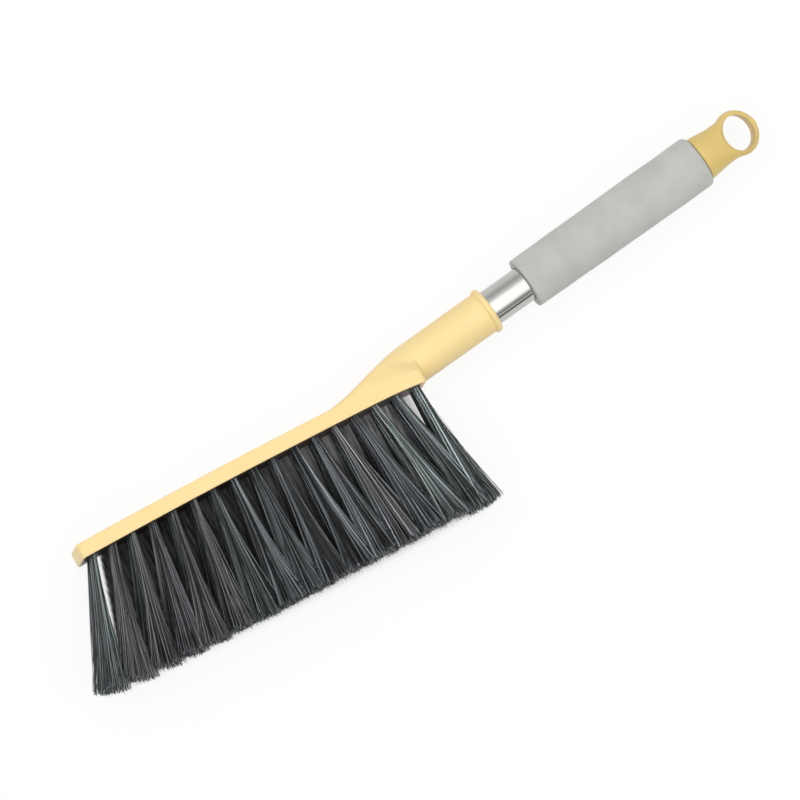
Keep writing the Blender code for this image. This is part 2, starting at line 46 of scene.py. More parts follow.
# Bar of the head
BAR_LENGTH = 0.1955
BAR_WIDTH = 0.036
BAR_THICKNESS = 0.008
BAR_CORNER_RADIUS = 0.0025  # of its outline, seen from the back
BAR_EDGE_RADIUS = 0.0008
BAR_RISE = 0.0017  # of the underside's crown above its two ends
BAR_CROWN_FROM_FREE_END = 0.115
BAR_OVERHANG = 0.0013  # of the bar, past the start of the handle's frame
BAR_ARCH_POWERS = (2, 6)  # how sharply it falls away to the free end and to the handle's end
BAR_STATION_SPACING = 0.004

# Fairing between the bar and the socket
FAIRING_LENGTH = 0.056  # of the bar's back that it covers
FAIRING_SIDE_STEP = 0.0002  # from the bar's side and underside to the fairing's
FAIRING_NARROWING = 0.032  # of its length, over which it draws in from the bar's width to the socket's
FAIRING_SHOULDER_HEIGHT = 0.010  # over the bar, within which its side turns into the fairing's
FAIRING_SHOULDER_SHARE = 0.75  # of the fairing's height, that the shoulder takes at most
CREASE_LENGTH = 0.016  # of the bar's end, over which the shoulder shrinks to a ledge
CREASE_HEIGHT = 0.0062  # of the shoulder at the bar's end
CREASE_DEPTH = 0.0006  # of the ledge over the bar's edge, at the bar's end
BAR_END_DRAW = 0.0010  # of each side, drawn in along the crease
FAIRING_SQUARENESS = 6.0  # exponent of its first section; the last one is a circle, with 2
FAIRING_STATIONS = 48
FAIRING_STATION_CROWDING = 1.3  # exponent that draws them towards the handle
FAIRING_OVERRUN = 0.003  # past the bar's end, inside the socket
FAIRING_SINK = 0.0004  # of its last section, under the socket's surface

# Socket for the tube
HANDLE_RISE = math.radians(7.95)  # of the handle's axis over the bar's
SOCKET_DIAMETER = 0.0224
SOCKET_DRAFT = 0.0002  # growth of its diameter towards the rim
SOCKET_LIFT = 0.0011  # of its underside over the bar's, at the bar's end
SOCKET_LENGTH = 0.0492  # from the bar's end to the rim's end
SOCKET_BORE_DEPTH = 0.036
SOCKET_ROOT_LENGTH = 0.004  # that is buried in the fairing
SOCKET_ROOT_TAPER = 0.001  # of its radius, where it is buried
SOCKET_FULL_FROM = 0.0028  # from the start of the handle's frame, where the taper ends
RIM_DIAMETER = 0.0248
RIM_WIDTH = 0.0033
RIM_ROUNDING = 0.0011

# Handle tube
TUBE_DIAMETER = 0.019
TUBE_WALL = 0.0004
TUBE_SHOWN_LENGTH = 0.0226  # between the socket and the grip

# Grip sleeve
GRIP_LENGTH = 0.1094
GRIP_NEAR_DIAMETER = 0.0274
GRIP_FAR_DIAMETER = 0.0283
GRIP_WIDEST_FROM_FAR_END = 0.038
GRIP_NEAR_ROUNDING = 0.0004
GRIP_FAR_ROUNDING = 0.0028
GRIP_STATIONS = 120
GRIP_UNEVENNESS = 0.00008  # of the foam's surface
GRIP_WAVES = ((3, 140, 0), (5, -260, 1))  # count round the grip, pace along it, start

# Hanging cap
CAP_TURN = math.radians(7.5)  # of the cap about the handle's axis
NECK_DIAMETER = 0.0236
NECK_WAIST_DIAMETER = 0.0211
NECK_WAIST_FROM_GRIP = 0.0139
LOOP_CENTRE_FROM_GRIP = 0.0235
LOOP_WIDTH = 0.0243  # across the handle
LOOP_LENGTH = 0.0206  # along the handle
LOOP_DEPTH = 0.015
LOOP_TIP_DEPTH = 0.013
LOOP_SQUARENESS = 4.0  # exponent of the sections through the loop; the neck's is a circle, with 2
LOOP_BLEND = 0.0016  # between the neck and the loop
LOOP_TIP_FLAT = 0.00003  # that is cut off its tip
FLATTENING_FROM_GRIP = 0.007  # where the neck starts to turn from round to flat
HOLE_WIDTH = 0.0192
HOLE_LENGTH = 0.0154
HOLE_ROUNDING = 0.0016  # of the hole's edge at each face
CAP_STATIONS = 90
PLUG_LENGTH = 0.016
PLUG_WALL = 0.0018
PLUG_POCKET_BEYOND_GRIP = 0.006  # of the pocket, into the neck

# Bristle tufts
ROW_NAMES = ("far", "mid", "near")  # from the side that it lies on to the side that faces up
ROW_SPACING = 0.010
FIRST_TUFT_FROM_END = 0.0065
LAST_TUFT_FROM_END = 0.0042
TUFT_DIAMETER = 0.0035
TUFT_ROOT_DEPTH = 0.0052
BRISTLE_LENGTH = 0.068
TUFT_LEANS = (  # in degrees, from the free end
    -19, -16.5, -13.8, -11.2, -10.2, -7.2, -5.4, -2.9, -1.6, -0.8, 3, 4.2, 5.4, 6.2, 9.8, 10.2, 2.8,
)
FAN_HALF_LENGTHS = (0.0118, 0.0112, 0.0104)  # of a tuft's tips, along the bar, for each row
FAN_HALF_DEPTHS = (0.0052, 0.0056, 0.0050)  # of a tuft's tips, across the bar
FAN_POWERS = (1.25, 1.50, 1.80)  # how late the tufts widen; the far row is pressed flat on the floor
FAN_POWER_SPREAD = 0.22  # from tuft to tuft
FAN_END_SHARE = 0.88  # of its length, for the first and last tuft of a row
FAN_CROWDING = 0.6  # 0.5 is an even spread; more draws the fibres to the middle of the tuft
FIBRES_IN_TUFT = 350
FIBRE_RADIUS = 0.00015
FIBRE_SIDES = 3
FIBRE_STEPS = 4
FIBRE_BOW = 0.00025
FIBRE_IN_HOLE = 0.002  # of its length
FIBRE_LEAST_HEIGHT = 0.0004  # over the floor
FIBRE_UNEVENNESS = 0.50  # of the shade from fibre to fibre
FIBRE_UNEVENNESS_GROWTH = 0.05  # of it, towards the handle
FIBRE_MOST_EXTRA = 0.0018  # of its length over the others
FIBRE_SCATTER = 0.0005  # of tips and lengths
FIBRE_TIP_SCALE = 0.8
ODD_FIBRE_SHARE = 0.04  # of the fibres, that scatter more than the others
ODD_FIBRE_SCATTER = 3.0  # times the others'
TUFT_LEAN_SCATTER = 0.6  # in degrees
TUFT_HUES = (0.05, 0.95)
FIBRE_HUE_SCATTER = 0.12
FIRST_ROW_SEED = 17
CLUMPS_IN_TUFT = 10
CLUMP_HOMES = (-0.8, 0.8)  # of the root's radius
CLUMP_TIPS = (-1.0, 1.0)  # of the fan
CLUMP_PULL = 0.14  # of a fibre's tip, towards its clump's
CLUMP_SHADES = (0.53, 0.60)
MIDDLE_DARKER_BY = 0.16  # for the tufts halfway along the bar
HANDLE_DARKER_BY = 0.10  # for the tufts at the handle
PAINTED_GLINT_SHARES = (0.002, 0.06)  # of the fibres, at the free end and at the handle, that get a painted glint
PAINTED_GLINT_GROWTH = 4  # exponent of their share's growth towards the handle
GLINT_RADIUS = 0.0002
PALEST_SHADE = 0.97  # of the other fibres
STRAY_FIBRES = 12  # at each end of a row
STRAY_LEANS = (0.5, 6.5)  # in degrees, past the tuft's own lean
STRAY_SPLAY = (-0.08, 0.08)  # up or down, as a share of its length
STRAY_LENGTHS = (0.75, 0.98)  # of the other fibres' length
STRAY_SHADES = (0.4, 0.8)
STRAY_BOW = 0.0015
STRAY_RADIUS = 0.00011

# Colours in sRGB, 0 to 255
HEAD_COLOURS = ((246, 217, 150), (249, 223, 159))
CAP_COLOURS = ((218, 188, 110), (226, 198, 122))
PAINTED_SHADE_COLOURS = ((38, 27, 22), (96, 78, 70))  # painted shade, towards the free end and towards the handle
STEEL_COLOURS = ((200, 201, 197), (208, 208, 204))
FOAM_COLOURS = ((184, 185, 179), (196, 197, 192))
PORE_COLOURS = ((208, 209, 204), (172, 173, 167))
BRISTLE_HUES = ((142, 142, 140), (139, 141, 147), (135, 143, 146), (134, 146, 144), (135, 148, 140))
BRISTLE_SHADES = ((30, 32, 32), (86, 88, 88), (178, 178, 178), (255, 255, 255))
BRISTLE_SHADE_STOPS = (0.0, 0.35, 0.7, 0.88)
PAINTED_HIGHLIGHT_LEVELS = (1.5, 2.8)  # beyond plain white: painted highlights on the palest fibres, and painted glints

# Grain and gloss of the materials
NOISE_RANGE = (0.3, 0.7)  # that most of a noise lies in
PLASTIC_GRAIN_SHARE = 0.25  # of its colour
PLASTIC_GLOSS_SPREAD = 0.05
FOAM_PORE_SHARE = 0.16  # of its colour
STEEL_ROUGHNESS = (0.07, 0.13)
FOAM_ROUGHNESS = (0.86, 0.98)
FIBRE_ROUGHNESS = (0.34, 0.50)

# Map of the fibres
EXPORT_MAP = "OFBake"
MAP_CELL_CORNERS = ((0.15, 0.15), (0.85, 0.15), (0.85, 0.85), (0.15, 0.85))

# Painted shade on the bar's underside, between the tufts: a dark tint in place of the bristles' shade
PAINTED_SHADE_EDGE = 0.002  # over which it ends
PAINTED_SHADE_FACING = (-0.98, -0.7)  # Y of the surface's direction, between which it fades out
PAINTED_SHADE_PLACES = (0.4, 0.8)  # shares of the bar's length
PAINTED_SHADE_BEYOND_FIRST_TUFT = 0.0045
PAINTED_SHADE_BEYOND_LAST_TUFT = 0.0015

# Facets
SHARP_ANGLE = math.radians(35)  # from which an edge isn't shaded smooth
MERGE_DISTANCE = 1e-7
ROUND_STEPS = 128
SECTION_SIDE_POINTS = 8
SECTION_CORNER_POINTS = 8
SECTION_TOP_POINTS = 64
SECTION_BOTTOM_POINTS = 16
CAP_SECTION_POINTS = 96
TUFT_HOLE_STEPS = 24
ROUNDING_POINTS = 8
END_STEPS = 6  # of each part of a rounding at the bar's ends
CUTTER_OVERRUN = 0.002

# Camera, fitted to the photograph's view
IMAGE_SIZE = 800
CAMERA_DISTANCE = 9.0
CAMERA_SENSOR = 36.0
PIXELS_PER_METRE = 1987.0
CHORD_ANGLE = math.radians(27.4)  # of the bar in the picture
CAMERA_LEAN = Vector((-0.143, -0.080, 1.0))
CAMERA_AIM = (-0.0157, -0.0023)  # from the end of the bar's underside
CAMERA_REACH = 100

# Surroundings
FLOOR_REACH = 6.0
FLOOR_GLOW = 0.88  # share of plain white in what the camera sees of the open floor
FLOOR_LEVELS = (0.96, 0.12)  # of its colour, in the open and, as painted shade, under the bristles
PAINTED_REFLECTION_LEVELS = (0.12, 0.84)  # painted reflection: glow that shiny surfaces mirror, far out past the bristles and near
PAINTED_REFLECTION_REACH = (-0.40, -0.16)  # Y between which that changes
FLOOR_DROP = 0.0002  # under what lies on it
FLOOR_GRID_STARTS = (-0.16, -0.10)  # X and Y
FLOOR_GRID_LINES = (225, 121)
FLOOR_GRID_SPACING = 0.00125
# Painted shade on the floor under the bristles, with a painted shadow past their tips, paler towards the
# handle
FLOOR_SHADE_LEFT = -0.0826
FLOOR_SHADE_RIGHT = 0.098
FLOOR_SHADE_BEHIND = 0.005
FLOOR_SHADE_EDGE = 0.008
FLOOR_SHADE_LEFT_LEAN = 16.6  # in degrees, of the slit beside the first tuft
FLOOR_SHADE_LAST_LEAN = 10  # of the bristles near the handle
FLOOR_SHADE_LEFT_EDGE = 0.0015
FLOOR_SHADE_TIPS_EDGE = 0.0097
FLOOR_SHADE_PAST_TIPS = 0.0142
FLOOR_SHADE_RIGHT_EDGE = 0.014
FLOOR_PALER_FROM = -0.02  # X from which it grows paler towards the handle
FLOOR_PALER_BY = 0.10
FLOOR_PALER_REACH = (0.016, 0.036)  # out from the bar's back, over which that ends
FLOOR_STREAKS = (0.4, 1.7)  # of the painted shade's level, in painted streaks that run out with the bristles
FLOOR_STREAKED_FROM = (0.4, 0.8)  # of the shade's depth, between which the streaks set in
SUN_STRENGTH = 0.5
SUN_WIDTH = math.radians(40)
SUN_DIRECTION = Vector((-0.28, 0.30, 1.0))
BACK_STARTS = (-0.1, 0.1)  # Y between which the surroundings turn from front to back
SIDE_REACH = (0.25, 0.7)  # X between which they grow dimmer to the sides
SIDE_LEVEL = 0.85
# Brightness of the surroundings at degrees from the zenith, on the bristles' side and on the bar's back
FRONT_STOPS = (
    (0, 1.65), (30, 1.65), (36, 1.59), (42, 1.41), (49, 0.90), (55, 0.53), (62, 0.35), (69, 0.30),
    (75, 0.66), (79, 0.66), (84, 0.22), (90, 0.05),
)
BACK_STOPS = (
    (0, 1.65), (14, 1.65), (20, 1.49), (26, 1.19), (33, 0.91), (39, 0.77), (46, 0.70), (53, 0.59),
    (60, 0.50), (68, 0.57), (75, 0.65), (90, 0.75),
)

# Places that follow from the sizes
BAR_END = BAR_LENGTH / 2 + BAR_OVERHANG
MID_Z = BAR_WIDTH / 2
SOCKET_RADIUS = SOCKET_DIAMETER / 2
BORE_RADIUS = TUBE_DIAMETER / 2 + FIT_GAP
GRIP_START = SOCKET_LENGTH + TUBE_SHOWN_LENGTH
GRIP_END = GRIP_START + GRIP_LENGTH
TUBE_START = SOCKET_LENGTH - SOCKET_BORE_DEPTH + FIT_GAP
CAP_START = GRIP_END + FIT_GAP


def arch(x):
    """Height of the underside over the line through its two ends."""
    crown = BAR_CROWN_FROM_FREE_END - BAR_LENGTH / 2
    if x < crown:
        share, power = (crown - x) / (crown + BAR_LENGTH / 2), BAR_ARCH_POWERS[0]
    else:
        share, power = (x - crown) / (BAR_LENGTH / 2 - crown), BAR_ARCH_POWERS[1]
    return BAR_RISE * (1 - min(share, 1.0) ** power)


def underside(x):
    """Y of the bar's underside."""
    return arch(x) - arch(0.0) - BAR_THICKNESS / 2


AXIS_Y = underside(BAR_LENGTH / 2) + SOCKET_LIFT + SOCKET_RADIUS / math.cos(HANDLE_RISE)
HANDLE_FRAME = Matrix.LocRotScale(
    Vector((BAR_LENGTH / 2, AXIS_Y, MID_Z)), Euler((0, math.radians(90), HANDLE_RISE), "XYZ"), None,
)


def axis_y(x):
    """Y of the handle's axis."""
    return AXIS_Y + (x - BAR_LENGTH / 2) * math.tan(HANDLE_RISE)


# Meshes

def new_solid(name, points, faces, place=None):
    """A smooth solid with its doubled points merged and its faces pointing out."""
    bm = bmesh.new()
    verts = [bm.verts.new(point) for point in points]
    for face in faces:
        bm.faces.new([verts[i] for i in face])
    bmesh.ops.remove_doubles(bm, verts=bm.verts, dist=MERGE_DISTANCE)
    bmesh.ops.dissolve_degenerate(bm, edges=bm.edges, dist=MERGE_DISTANCE)
    bmesh.ops.recalc_face_normals(bm, faces=bm.faces)
    mesh = bpy.data.meshes.new(name)
    bm.to_mesh(mesh)
    bm.free()
    mesh.shade_smooth()
    mesh.set_sharp_from_angle(angle=SHARP_ANGLE)
    return new_object(name, mesh, place)


def new_object(name, data, place=None):
    item = bpy.data.objects.new(name, data)
    bpy.context.scene.collection.objects.link(item)
    if place is not None:
        item.matrix_world = place
    return item


def skin(sections, closed=False):
    """Points and faces of a skin over rings with the same number of points, with end caps or joined up."""
    count = len(sections[0])
    points = [point for section in sections for point in section]
    faces = []
    for ring in range(len(sections) - (0 if closed else 1)):
        low, high = ring * count, (ring + 1) % len(sections) * count
        for i in range(count):
            j = (i + 1) % count
            faces.append((low + i, low + j, high + j, high + i))
    if not closed:
        faces.append(tuple(reversed(range(count))))
        faces.append(tuple(range(len(points) - count, len(points))))
    return points, faces


def add_skin(sections, points, faces):
    """Adds a skin over rings to the points and faces of a larger mesh."""
    start = len(points)
    skin_points, skin_faces = skin(sections)
    points += skin_points
    faces += [tuple(start + i for i in face) for face in skin_faces]


def ring_of(radius, height, steps):
    turns = [2 * math.pi * i / steps for i in range(steps)]
    return [Vector((radius * math.cos(turn), radius * math.sin(turn), height)) for turn in turns]


def turned_solid(name, profile, place, closed=False):
    """A solid turned about Z from a profile of (radius, height)."""
    sections = [ring_of(radius, height, ROUND_STEPS) for radius, height in profile]
    return new_solid(name, *skin(sections, closed), place)


def post(radius, low, high):
    """Profile of a plain round post."""
    return [(0.0, high), (radius, high), (radius, low), (0.0, low)]


def quarter_round(radius, height, rounding, facing):
    """Profile points round a corner. facing 1 rounds a top corner, -1 a bottom one; both run downwards."""
    arc = []
    for i in range(ROUNDING_POINTS + 1):
        angle = math.pi / 2 * i / ROUNDING_POINTS
        turn = angle if facing > 0 else math.pi / 2 - angle
        arc.append((
            radius - rounding + rounding * math.sin(turn),
            height + facing * (rounding * math.cos(turn) - rounding),
        ))
    return arc


def combine(item, steps):
    """Applies Boolean steps, given as (operation, cutter), and removes the cutters."""
    for operation, cutter in steps:
        boolean = item.modifiers.new(operation, "BOOLEAN")
        boolean.operation = operation
        boolean.object = cutter
        boolean.solver = "EXACT"
    bpy.context.view_layer.update()
    evaluated = item.evaluated_get(bpy.context.evaluated_depsgraph_get())
    mesh = bpy.data.meshes.new_from_object(evaluated)
    item.modifiers.clear()
    item.data = mesh
    mesh.shade_smooth()
    mesh.set_sharp_from_angle(angle=SHARP_ANGLE)
    for _, cutter in steps:
        bpy.data.objects.remove(cutter)


def smooth_share(share):
    share = min(max(share, 0.0), 1.0)
    return share ** 2 * (3 - 2 * share)


# Materials

def srgb(*colour):
    """Linear colour of an sRGB colour given in 0 to 255."""
    shares = [value / 255 for value in colour]
    linear = [share / 12.92 if share <= 0.04045 else ((share + 0.055) / 1.055) ** 2.4 for share in shares]
    return (*linear, 1)


class Nodes:
    """Builds the node tree of a material, or of the world."""

    def __init__(self, owner, shader="Principled BSDF"):
        self.owner = owner
        owner.use_nodes = True
        self.tree = owner.node_tree
        self.shader = self.tree.nodes[shader]

    def add(self, kind, links=(), **settings):
        node = self.tree.nodes.new(kind)
        for name, value in settings.items():
            setattr(node, name, value)
        for socket, value in dict(links).items():
            self.put(node.inputs[socket], value)
        return node

    def put(self, socket, value):
        if isinstance(value, bpy.types.NodeSocket):
            self.tree.links.new(value, socket)
        else:
            socket.default_value = value

    def coordinates(self, stretch=(1, 1, 1)):
        """Coordinates of the piece in metres, stretched."""
        own = self.add("ShaderNodeTexCoord").outputs["Object"]
        return self.add("ShaderNodeMapping", {"Vector": own, "Scale": stretch}).outputs["Vector"]

    def noise(self, vector, scale, detail=3.0, roughness=0.5):
        return self.add("ShaderNodeTexNoise", {
            "Vector": vector, "Scale": scale, "Detail": detail, "Roughness": roughness,
        }).outputs["Fac"]

    def ramp(self, factor, stops):
        """Colours along a factor, from a list of (place, colour)."""
        node = self.add("ShaderNodeValToRGB", {"Fac": factor})
        elements = node.color_ramp.elements
        while len(elements) < len(stops):
            elements.new(0.5)
        for element, (place, colour) in zip(elements, stops):
            element.position = place
            element.color = colour
        return node.outputs["Color"]

    def tones(self, factor, places, colours, beyond=()):
        """sRGB colours along a factor, and stops beyond them."""
        stops = [(place, srgb(*colour)) for place, colour in zip(places, colours)]
        return self.ramp(factor, stops + list(beyond))

    def between(self, factor, low, high, floor=0.0, ceiling=1.0):
        """Maps floor to ceiling onto low to high."""
        return self.add("ShaderNodeMapRange", {
            "Value": factor, "From Min": floor, "From Max": ceiling, "To Min": low, "To Max": high,
        }).outputs["Result"]

    def varied(self, noise, low, high):
        """Maps the usual range of a noise onto low to high."""
        return self.between(noise, low, high, *NOISE_RANGE)

    def mixed(self, factor, first, second, blend="MIX"):
        node = self.add("ShaderNodeMix", data_type="RGBA", blend_type=blend)
        self.put(node.inputs["Factor"], factor)
        self.put(node.inputs["A"], first)
        self.put(node.inputs["B"], second)
        return node.outputs["Result"]

    def math(self, operation, first, second=0.0):
        return self.add("ShaderNodeMath", {0: first, 1: second}, operation=operation).outputs[0]

    def bump(self, height, depth, normal=None):
        links = {"Height": height, "Distance": depth, "Strength": 1.0}
        if normal is not None:
            links["Normal"] = normal
        return self.add("ShaderNodeBump", links).outputs["Normal"]

    def finish(self, **sockets):
        for name, value in sockets.items():
            self.put(self.shader.inputs[name.replace("_", " ")], value)
        return self.owner


def grey(level):
    return (level, level, level, 1)


def moulded_plastic(name, colours, roughness, painted_shade_span=None):
    """Moulded plastic: cloudy in its depth, with a satin grain, and a painted shade on a stretch of its
    underside.
    """
    nodes = Nodes(bpy.data.materials.new(name))
    place = nodes.coordinates()
    cloud = nodes.noise(place, scale=38.0)
    tint = nodes.tones(cloud, (0.32, 0.68), colours)
    grain = nodes.noise(place, scale=1900.0, detail=2.0)
    tint = nodes.mixed(PLASTIC_GRAIN_SHARE, tint, nodes.tones(grain, (0.35, 0.6), colours))
    # Painted shade: the underside between the tufts is darkened, in place of the shade that the bristles
    # cast there.
    if painted_shade_span is not None:
        start, end = painted_shade_span
        normal = nodes.add("ShaderNodeNewGeometry").outputs["Normal"]
        facing = nodes.add("ShaderNodeSeparateXYZ", {"Vector": normal}).outputs["Y"]
        along = nodes.add("ShaderNodeSeparateXYZ", {"Vector": place}).outputs["X"]
        underside_shade = nodes.between(facing, 1.0, 0.0, *PAINTED_SHADE_FACING)
        underside_shade = nodes.math("MULTIPLY", underside_shade, nodes.between(along, 0.0, 1.0, start - PAINTED_SHADE_EDGE, start))
        underside_shade = nodes.math("MULTIPLY", underside_shade, nodes.between(along, 1.0, 0.0, end, end + PAINTED_SHADE_EDGE))
        share = nodes.between(along, 0.0, 1.0, -BAR_LENGTH / 2, BAR_LENGTH / 2)
        underside_shade_colour = nodes.tones(share, PAINTED_SHADE_PLACES, PAINTED_SHADE_COLOURS)
        tint = nodes.mixed(underside_shade, tint, underside_shade_colour)
    patches = nodes.noise(place, scale=260.0)
    gloss = nodes.varied(patches, roughness - PLASTIC_GLOSS_SPREAD, roughness + PLASTIC_GLOSS_SPREAD)
    ripple = nodes.bump(nodes.noise(place, scale=120.0, detail=1.0), depth=0.00012)
    normal = nodes.bump(grain, depth=0.000012, normal=ripple)
    return nodes.finish(Base_Color=tint, Roughness=gloss, Normal=normal, Specular_IOR_Level=0.55)


def polished_steel():
    """Polished tube with faint lines drawn along it."""
    nodes = Nodes(bpy.data.materials.new("polished_steel_finish"))
    drawn = nodes.noise(nodes.coordinates((1, 1, 0.02)), scale=1500.0)
    smear = nodes.noise(nodes.coordinates((1, 1, 0.4)), scale=90.0, detail=2.0)
    tint = nodes.tones(smear, (0.3, 0.7), STEEL_COLOURS)
    gloss = nodes.varied(drawn, *STEEL_ROUGHNESS)
    normal = nodes.bump(drawn, depth=0.000004)
    return nodes.finish(Base_Color=tint, Roughness=gloss, Normal=normal, Metallic=1.0)


def grip_foam():
    """Light closed-cell foam: soft clouds along it, and fine pores."""
    nodes = Nodes(bpy.data.materials.new("grip_foam_finish"))
    clouds = nodes.noise(nodes.coordinates((0.4, 1, 1)), scale=60.0, roughness=0.55)
    tint = nodes.tones(clouds, (0.34, 0.66), FOAM_COLOURS)
    fine_place = nodes.coordinates()
    pores = nodes.add("ShaderNodeTexVoronoi", {"Vector": fine_place, "Scale": 1500.0}).outputs["Distance"]
    tint = nodes.mixed(FOAM_PORE_SHARE, tint, nodes.tones(pores, (0.1, 0.8), PORE_COLOURS))
    fine = nodes.noise(fine_place, scale=420.0, roughness=0.6)
    normal = nodes.bump(fine, depth=0.00006)
    normal = nodes.bump(pores, depth=0.00002, normal=normal)
    rough = nodes.varied(fine, *FOAM_ROUGHNESS)
    return nodes.finish(
        Base_Color=tint, Roughness=rough, Normal=normal, Specular_IOR_Level=0.25,
        Sheen_Weight=0.15, Sheen_Roughness=0.5,
    )


def bristle_fibre():
    """Dark fibres. Each tuft leans to its own hue and each fibre to its own shade; colour beyond white
    paints highlights on the palest fibres and glints.
    """
    nodes = Nodes(bpy.data.materials.new("bristle_fibre_finish"))
    hue = nodes.add("ShaderNodeAttribute", attribute_name="hue").outputs["Fac"]
    shade = nodes.add("ShaderNodeAttribute", attribute_name="shade").outputs["Fac"]
    tint = nodes.tones(hue, (0.0, 0.25, 0.5, 0.75, 1.0), BRISTLE_HUES)
    painted_glints = [(PALEST_SHADE, grey(PAINTED_HIGHLIGHT_LEVELS[0])), (1.0, grey(PAINTED_HIGHLIGHT_LEVELS[1]))]
    deep = nodes.tones(shade, BRISTLE_SHADE_STOPS, BRISTLE_SHADES, painted_glints)
    colour = nodes.mixed(1.0, tint, deep, "MULTIPLY")
    wear = nodes.noise(nodes.coordinates((1, 0.15, 1)), scale=900.0, detail=2.0)
    gloss = nodes.varied(wear, *FIBRE_ROUGHNESS)
    return nodes.finish(Base_Color=colour, Roughness=gloss, Specular_IOR_Level=0.5)


# Head

def ray_to_rounded_box(cosine, sine, half_width, half_height, rounding):
    """Distance from the centre of a rounded rectangle to its outline."""
    cosine, sine = abs(cosine), abs(sine)
    reach = min(half_width / max(cosine, 1e-9), half_height / max(sine, 1e-9))
    inner_width, inner_height = half_width - rounding, half_height - rounding
    if cosine * reach > inner_width and sine * reach > inner_height:
        along = cosine * inner_width + sine * inner_height
        beyond = inner_width ** 2 + inner_height ** 2 - rounding ** 2
        reach = along + math.sqrt(max(along ** 2 - beyond, 0.0))
    return reach


def ray_to_edge(cosine, sine, inside, far):
    """Distance to where a ray leaves a form, given by a test of its inside."""
    near = 0.0
    for _ in range(32):
        reach = (near + far) / 2
        if inside(reach * cosine, reach * sine):
            near = reach
        else:
            far = reach
    return near


def blend_max(first, second, blend):
    """The larger of two sizes, with a fillet where they are alike."""
    gap = max(blend - abs(first - second), 0.0)
    return max(first, second) + gap * gap / (4 * blend)


def section_angles():
    """Directions of a head section's points from its centre: the bar's corners, back and underside."""
    flat_height = BAR_THICKNESS / 2 - BAR_EDGE_RADIUS
    flat_width = BAR_WIDTH / 2 - BAR_EDGE_RADIUS
    side_turn = math.atan2(flat_height, BAR_WIDTH / 2)
    corner = [i / SECTION_SIDE_POINTS * side_turn for i in range(SECTION_SIDE_POINTS)]
    for i in range(SECTION_CORNER_POINTS + 1):
        turn = math.pi / 2 * i / SECTION_CORNER_POINTS
        width = flat_width + BAR_EDGE_RADIUS * math.cos(turn)
        height = flat_height + BAR_EDGE_RADIUS * math.sin(turn)
        corner.append(math.atan2(height, width))
    first, last = corner[-1], math.pi - corner[-1]
    back, below = [
        [first + (last - first) * (i + 1) / (count + 1) for i in range(count)]
        for count in (SECTION_TOP_POINTS, SECTION_BOTTOM_POINTS)
    ]
    upper = corner + back + [math.pi - angle for angle in reversed(corner)]
    lower = corner[1:] + below + [math.pi - angle for angle in reversed(corner[1:])]
    return upper + [angle + math.pi for angle in lower]


def end_rounding(distance, radius):
    """How far a rounded end is drawn in, at a distance from its face."""
    inward = max(radius - distance, 0.0)
    return radius - math.sqrt(max(radius ** 2 - inward ** 2, 0.0))


def fairing_top(x):
    """Y of the fairing's back: a smooth rise from the bar's back to the socket's."""
    start = BAR_LENGTH / 2 - FAIRING_LENGTH
    share = (x - start) / FAIRING_LENGTH
    low = underside(start) + BAR_THICKNESS
    high = AXIS_Y + SOCKET_RADIUS / math.cos(HANDLE_RISE)
    if share >= 1:
        return high + (x - BAR_LENGTH / 2) * math.tan(HANDLE_RISE)
    end_slope = FAIRING_LENGTH * math.tan(HANDLE_RISE) * (share ** 3 - share ** 2)
    return low + (high - low) * smooth_share(share) + end_slope


def fairing_shape(x):
    """Half width, half height, centre's Y and exponent of the fairing's section over the bar."""
    start = BAR_LENGTH / 2 - FAIRING_NARROWING
    narrowing = smooth_share((x - start) / FAIRING_NARROWING)
    full = BAR_WIDTH / 2 - FAIRING_SIDE_STEP
    half_width = full + (SOCKET_RADIUS - full) * narrowing
    exponent = FAIRING_SQUARENESS + (2 - FAIRING_SQUARENESS) * narrowing
    top = fairing_top(x)
    bottom = underside(x) + FAIRING_SIDE_STEP
    return half_width, (top - bottom) / 2, (top + bottom) / 2, exponent


def ray_to_fairing(cosine, sine, x, bar_half_width, centre_y):
    """Distance to the fairing's outline, which leaves the bar's side in a shoulder."""
    half_width, half_height, middle, exponent = fairing_shape(x)
    middle -= centre_y
    into_crease = smooth_share(1 - (BAR_END - x) / CREASE_LENGTH)
    bar_half_width -= CREASE_DEPTH * into_crease
    low = BAR_THICKNESS / 2 - BAR_EDGE_RADIUS
    height = min(FAIRING_SHOULDER_HEIGHT, (middle + half_height - low) * FAIRING_SHOULDER_SHARE)
    height += (CREASE_HEIGHT - height) * into_crease

    def inside(across, up):
        beyond = 1 - abs((up - middle) / half_height) ** exponent
        oval = half_width * max(beyond, 0.0) ** (1 / exponent)
        share = smooth_share((up - low) / height)
        return abs(across) < bar_half_width + (oval - bar_half_width) * share
    return ray_to_edge(cosine, sine, inside, 2 * BAR_WIDTH)


def section_points(x, centre_y, reach_at):
    """Points of an outline at x, from a rule for their distance from its centre."""
    points = []
    for angle in section_angles():
        cosine, sine = math.cos(angle), math.sin(angle)
        reach = reach_at(cosine, sine)
        points.append(Vector((x, centre_y + reach * sine, MID_Z + reach * cosine)))
    return points


def head_section(x, from_end):
    """Points of the head's outline at x, from_end metres inside the bar's nearer end."""
    into_crease = max(1 - (BAR_END - x) / CREASE_LENGTH, 0.0)
    half_width = BAR_WIDTH / 2 - end_rounding(from_end, BAR_CORNER_RADIUS) - BAR_END_DRAW * into_crease ** 2
    half_height = BAR_THICKNESS / 2 - end_rounding(from_end, BAR_EDGE_RADIUS)
    centre_y = underside(x) + BAR_THICKNESS / 2

    def reach_at(cosine, sine):
        reach = ray_to_rounded_box(cosine, sine, half_width, half_height, BAR_EDGE_RADIUS)
        if x > BAR_LENGTH / 2 - FAIRING_LENGTH and sine > 0:
            reach = max(reach, ray_to_fairing(cosine, sine, x, half_width, centre_y))
        return reach
    return section_points(x, centre_y, reach_at)


